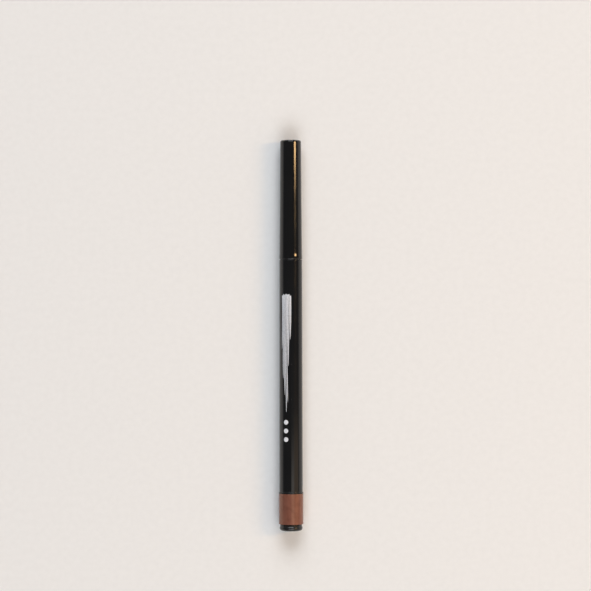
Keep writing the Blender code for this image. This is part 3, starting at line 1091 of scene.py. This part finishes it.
@dataclass
class ReservoirAssembly:
    """Fibre rod that holds the stain, and the film rolled round it."""

    rod: Span = Span.of("ink_reservoir")
    wrap: Span = Span.of("reservoir_film")
    nib: Span = Span.of("brush_nib")
    rod_radius: float = 2.7 * MM
    socket_radius: float = 1.55 * MM
    socket_gap: float = 0.1 * MM
    strand: float = 0.12 * MM
    bundle_flutes: Flutes = Flutes(6, 0, 0.985)
    bundle_gap: float = 0.2 * MM
    wrap_radius: float = 2.9 * MM
    wrap_bore: float = 2.75 * MM
    lap_angle: float = math.radians(24)
    lap_height: float = 0.03 * MM

    def build(self) -> None:
        """Builds and dresses the rod and its wrap."""
        fibre = StainedFibre(
            "reservoir_fibre", colour=(0.20, 0.090, 0.050), wet=(0.085, 0.033, 0.018),
            wetting=self.rod, strand=self.strand,
        )
        dress(self.build_rod(), fibre, Body.PEN, "ink_reservoir")
        film = WrapFilm("film_clear", colour=(0.46, 0.40, 0.34), tint=(0.26, 0.15, 0.10))
        dress(self.build_wrap(), film, Body.PEN, "reservoir_film")

    def build_rod(self) -> Object:
        """Turns the rod with its socket for the nib, and draws in the lines between its bundles."""
        rear, front = self.rod
        floor = self.nib.rear - self.socket_gap
        rod = LATHE.turn([
            Corner(0.0, floor),
            Corner(self.socket_radius, floor),
            Corner(self.socket_radius, front, Fillet.PLAIN),
            Corner(self.rod_radius, front, Fillet.WIDE),
            Corner(self.rod_radius, rear, Fillet.WIDE),
            Corner(0.0, rear),
        ])
        side = self.rod_radius - 2 * TOUCH
        pick(Domain.FACE, lambda face: LATHE.radius_of(face.calc_center_median()) > side)
        bpy.ops.mesh.subdivide(number_cuts=1)
        LATHE.flute(self.bundle_flutes, rear + self.bundle_gap, front - self.bundle_gap)
        return settle(rod, "stain_rod")

    def build_wrap(self) -> Object:
        """Turns the wrap and raises the lap where the film's edge lies over itself."""
        rear, front = self.wrap
        single = self.wrap_radius - self.lap_height
        wrap = LATHE.turn([
            Corner(self.wrap_bore, front),
            Corner(single, front, Fillet.HAIR),
            Corner(single, rear, Fillet.HAIR),
            Corner(self.wrap_bore, rear),
        ], closed=True)
        skin = single - self.lap_height

        def in_lap(middle: Sequence[float]) -> bool:
            """Whether the middle of a face of the outside lies in the lap."""
            return LATHE.radius_of(middle) > skin and 0 < LATHE.angle_of(middle) < self.lap_angle

        LATHE.raise_faces(in_lap, self.wrap_radius / single)
        return settle(wrap, "rod_wrap")


@dataclass
class PrintAssembly:
    """Plain white print on the barrel: a brush stroke that thins into streaks, then three dots."""

    tube: Object
    turn: float = math.radians(25)
    streaks: tuple[Span, ...] = (
        Span(-5.0 * MM, 14.5 * MM),
        Span(-15.5 * MM, 14.9 * MM),
        Span(-21.5 * MM, 14.7 * MM),
        Span(-27.6 * MM, 15.0 * MM),
        Span(-24.0 * MM, 14.8 * MM),
        Span(-11.0 * MM, 14.9 * MM),
        Span(-1.5 * MM, 14.4 * MM),
    )
    streak_pitch: float = 0.52 * MM
    streak_width: float = 0.45 * MM
    streak_tail: float = 0.45
    least_share: float = 0.04
    round_tip: float = 0.25 * MM
    tail_tip: float = 5.0 * MM
    sway: float = 0.14 * MM
    sway_length: float = 34.0 * MM
    columns: int = 3
    rows: int = 96
    dot_radius: float = 0.85 * MM
    dot_front: float = -31.2 * MM
    dot_pitch: float = 3.1 * MM
    dot_count: int = 3
    dot_sides: int = 48
    dot_rings: int = 3
    lift: float = 0.004 * MM
    film: float = 0.010 * MM
    level: float = LATHE.axis_height + 6.0 * MM
    rise: float = 1.0 * MM

    def build(self) -> None:
        """Draws the marks flat, joins them and lays them on the barrel."""
        middle = (len(self.streaks) - 1) / 2
        marks = [
            self.build_streak(ends, (place - middle) * self.streak_pitch)
            for place, ends in enumerate(self.streaks)
        ]
        marks += self.build_dots()
        work_on(marks[0])
        for mark in marks:
            mark.select_set(True)
        bpy.ops.object.join()
        ink = PrintInk(
            "print_white", colour=(0.78, 0.79, 0.83), thin=(0.60, 0.61, 0.65),
            bare=(0.08, 0.08, 0.085),
        )
        dress(self.lay(bpy.context.object), ink, Body.PEN)

    def build_streak(self, ends: Span, across: float) -> Object:
        """Raises a narrow grid row by row into a swaying streak with a round tip and a thin tail.

        Args:
            ends: stations of the streak's ends.
            across: its place across the stroke.

        Returns:
            The flat streak.
        """
        start_fresh()
        rear, front = ends
        middle, half = (front + rear) / 2, (front - rear) / 2
        bpy.ops.mesh.primitive_grid_add(
            x_subdivisions=self.columns, y_subdivisions=self.rows, size=1.0,
            location=(0.0, middle, self.level - self.rise),
        )
        mark = bpy.context.object
        mark.scale = (self.streak_width, 2 * half, 1.0)
        bpy.ops.object.transform_apply(location=True, scale=True)
        bpy.ops.object.mode_set(mode="EDIT")
        pitch = 2 * half / self.rows
        low = self.level - self.rise / 2
        for row in range(self.rows + 1):
            start = front - row * pitch
            station = middle + half * math.cos(math.pi * row / self.rows)
            from_tip = (front - station) / self.round_tip
            short = 1 - min(1.0, from_tip, (station - rear) / self.tail_tip)
            thin = 1 - (1 - self.streak_tail) * row / self.rows
            share = max(self.least_share, thin * math.sqrt(max(0.0, 1 - short * short)))
            aside = across + self.sway * math.sin(math.tau * station / self.sway_length)
            pick(Domain.VERT, lambda v: v.co.z < low and abs(v.co.y - start) < pitch / 4)
            centre = (0.0, start, self.level)
            bpy.ops.transform.resize(value=(share, 1.0, 1.0), center_override=centre)
            bpy.ops.transform.translate(value=(aside, station - start, self.rise))
        bpy.ops.object.mode_set(mode="OBJECT")
        return mark

    def build_dot(self) -> Object:
        """Insets a disc in rings, so that it can follow the barrel."""
        start_fresh()
        place = (0.0, self.dot_front, self.level)
        bpy.ops.mesh.primitive_circle_add(
            vertices=self.dot_sides, radius=self.dot_radius, fill_type="NGON", location=place
        )
        bpy.ops.object.transform_apply(location=True)
        bpy.ops.object.mode_set(mode="EDIT")
        for _ in range(self.dot_rings):
            bpy.ops.mesh.inset(thickness=self.dot_radius / (self.dot_rings + 1))
        bpy.ops.mesh.poke()
        bpy.ops.object.mode_set(mode="OBJECT")
        return bpy.context.object

    def build_dots(self) -> list[Object]:
        """Draws one dot and copies it along the pen."""
        dots = [self.build_dot()]
        for _ in range(self.dot_count - 1):
            work_on(dots[-1])
            bpy.ops.object.duplicate(linked=False)
            bpy.ops.transform.translate(value=(0.0, -self.dot_pitch, 0.0))
            bpy.ops.object.transform_apply(location=True)
            dots.append(bpy.context.object)
        return dots

    def lay(self, marks: Object) -> Object:
        """Turns the flat marks to their side of the barrel, wraps them on and makes them a film."""
        bpy.ops.object.mode_set(mode="EDIT")
        bpy.ops.mesh.select_all(action="SELECT")
        bpy.ops.transform.rotate(value=self.turn, orient_axis="Y", center_override=LATHE.centre)
        bpy.ops.object.mode_set(mode="OBJECT")
        apply_modifier(
            marks, "SHRINKWRAP", target=self.tube, wrap_method="PROJECT", offset=self.lift,
            use_negative_direction=True, use_positive_direction=True,
        )
        apply_modifier(marks, "SOLIDIFY", thickness=self.film, offset=1.0)
        return settle(marks, "barrel_print")


class Lamp(NamedTuple):
    """A soft area lamp, given by direction in degrees and distance from the point that it faces."""

    name: str
    aim: float
    bearing: float
    polar: float
    distance: float
    width: float
    length: float
    radiance: float
    colour: Colour

    def add(self) -> None:
        """Adds the lamp, its length across the direction to the object."""
        bearing, polar = math.radians(self.bearing), math.radians(self.polar)
        flat = math.sin(polar) * self.distance
        height = math.cos(polar) * self.distance
        place = (flat * math.cos(bearing), self.aim + flat * math.sin(bearing), height)
        bpy.ops.object.light_add(type="AREA", location=place, rotation=(0.0, polar, bearing))
        lamp = bpy.context.object
        lamp.name = self.name
        lamp.visible_camera = False
        lamp.data.shape = "RECTANGLE"
        lamp.data.size = self.width
        lamp.data.size_y = self.length
        lamp.data.energy = self.radiance * math.pi * self.width * self.length
        lamp.data.color = self.colour


@dataclass
class Studio:
    """Pale floor, soft lamps, dim surroundings, and the camera straight above the pen."""

    floor_height: float
    photo_side: float = 591.0
    photo_scale: float = 2.768 / MM
    pen_in_photo: tuple[float, float] = (290.8, 335.4)
    camera_height: float = 0.85
    sensor: float = 36.0
    roll: float = math.radians(-0.08)
    floor_side: float = 2.4
    surround: Colour = (0.130, 0.132, 0.138)
    wall: Colour = (0.66, 0.65, 0.64)
    wall_fade: Limits = (0.05, 0.18)
    # Name, station aimed at, bearing, polar angle, distance, width, length, radiance, colour
    lamps: tuple[Lamp, ...] = (
        Lamp("strip_right", 0.275, 0.0, 48.5, 1.8, 0.62, 0.170, 25.5, (1.0, 0.62, 0.28)),
        Lamp("card_high", -0.615, 0.0, 17.5, 1.2, 0.58, 0.980, 1.18, (1.0, 0.92, 0.82)),
        Lamp("card_low", -0.603, 0.0, 53.0, 1.2, 1.0, 1.004, 0.72, (1.0, 0.72, 0.47)),
        Lamp("box_rear", 0.0, -90.0, 44.0, 2.4, 1.4, 1.9, 2.7, (0.94, 0.97, 1.0)),
        Lamp("box_front", 0.0, 90.0, 52.0, 2.4, 1.4, 1.9, 4.9, (0.94, 0.97, 1.0)),
    )

    def build(self) -> None:
        """Builds the whole studio."""
        self.build_floor()
        for lamp in self.lamps:
            start_fresh()
            lamp.add()
        self.build_surround()
        self.build_camera()
        bpy.context.scene.view_settings.view_transform = "Standard"

    def build_floor(self) -> None:
        """Lays the floor under the lowest point of the pen."""
        start_fresh()
        place = (0.0, 0.0, self.floor_height)
        bpy.ops.mesh.primitive_plane_add(size=self.floor_side, location=place)
        bpy.ops.object.transform_apply(location=True)
        floor = bpy.context.object
        floor.name = "floor"
        pale = PaleFloor("pale_floor", colour=(0.82, 0.82, 0.82), fleck=(0.80, 0.80, 0.80))
        floor.data.materials.append(pale.make())

    def build_surround(self) -> None:
        """Lights the scene a little from all round, from a dim ceiling above a pale wall."""
        sheet = Sheet(bpy.data.worlds.new("surround"), "Background", "Generated")
        upward = sheet.ramp(sheet.along("Z"), self.wall_fade)
        sheet.fill(sheet.shader, Color=sheet.mix(upward, self.wall, self.surround))
        bpy.context.scene.world = sheet.owner

    def build_camera(self) -> None:
        """Adds the camera that frames the pen as in the photograph."""
        start_fresh()
        middle = self.photo_side / 2
        across = (middle - self.pen_in_photo[0]) / self.photo_scale
        along = (self.pen_in_photo[1] - middle) / self.photo_scale
        place = (across, along, LATHE.axis_height + self.camera_height)
        bpy.ops.object.camera_add(location=place, rotation=(0.0, 0.0, self.roll))
        camera = bpy.context.object
        camera.data.sensor_width = self.sensor
        camera.data.lens = self.sensor * self.camera_height * self.photo_scale / self.photo_side
        bpy.context.scene.camera = camera


def main() -> None:
    """Builds the pen's assemblies and the studio, in order."""
    logging.basicConfig(level=logging.INFO, format="%(message)s")
    CapAssembly().build()
    barrel = BarrelAssembly()
    tube = barrel.build()
    TipAssembly().build()
    ReservoirAssembly().build()
    PrintAssembly(tube).build()
    Studio(LATHE.axis_height - barrel.band_radius).build()


if __name__ == "__main__":
    main()
